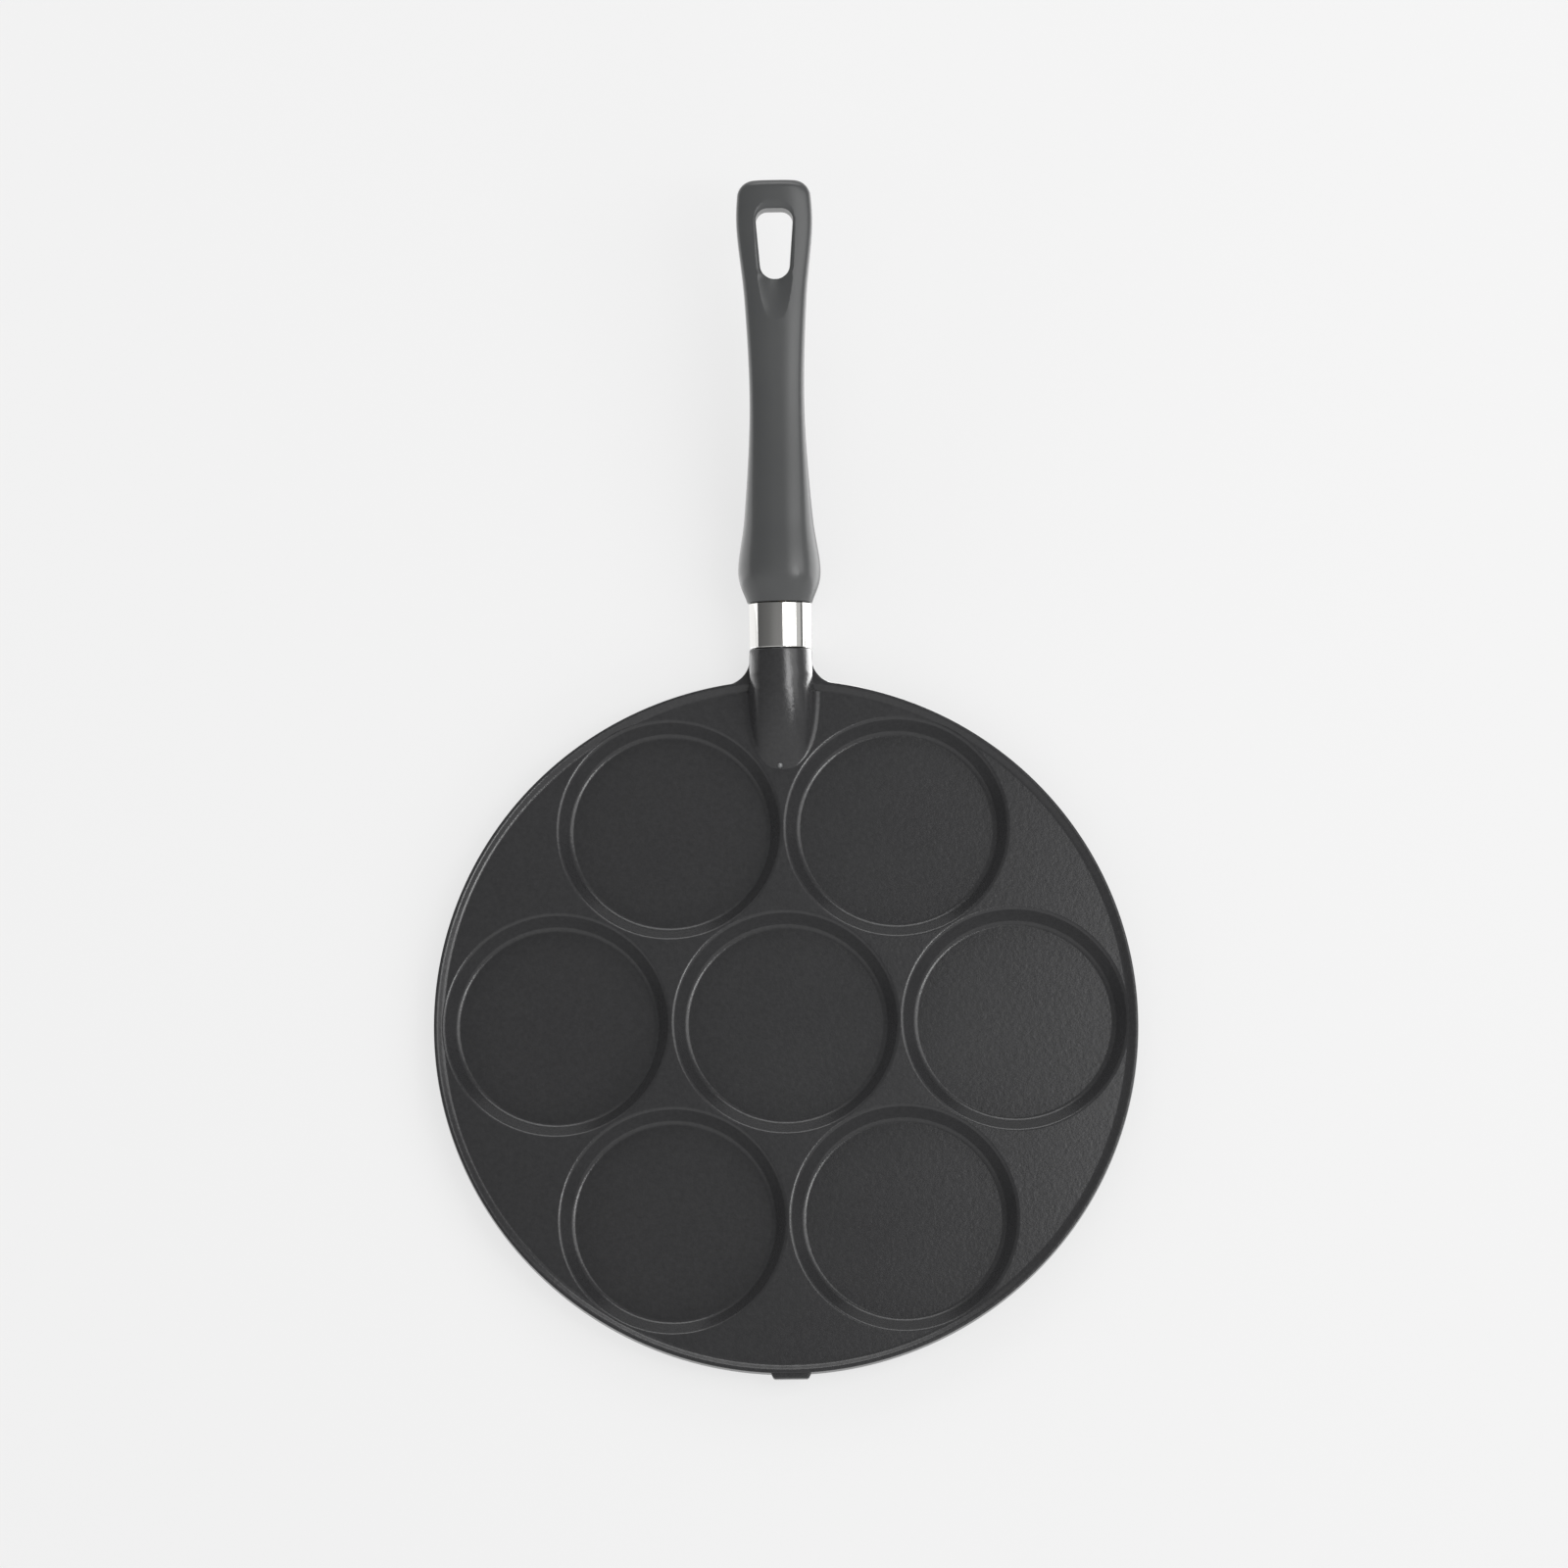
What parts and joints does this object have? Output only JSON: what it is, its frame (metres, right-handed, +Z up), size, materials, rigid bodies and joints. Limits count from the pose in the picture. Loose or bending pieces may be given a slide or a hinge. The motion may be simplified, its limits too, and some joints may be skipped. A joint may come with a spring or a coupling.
{
  "type": "plett pan",
  "caption": "Round cast griddle pan with shallow round wells for small pancakes, a low rim and a long handle with a hanging slot.",
  "frame": {"origin": "centre of the middle well's pad, on the plane that the pan stands on", "axes": "+Z up out of the wells, +Y along the handle, +X to the right seen from the end opposite the handle"},
  "size_m": [0.2674, 0.4587, 0.0543],
  "materials": {
    "coated_aluminium": "matte black non-stick coating on a sand-cast surface",
    "plated_steel": "zinc plated",
    "polished_steel": "mirror polished",
    "phenolic": "satin moulded",
    "brass": "turned"
  },
  "bodies": {
    "root": {"pan_body": "coated_aluminium", "handle_stud": "plated_steel", "flame_guard": "polished_steel", "wave_washer": "plated_steel", "handle": "phenolic", "threaded_insert": "brass"}
  },
  "joints": []
}
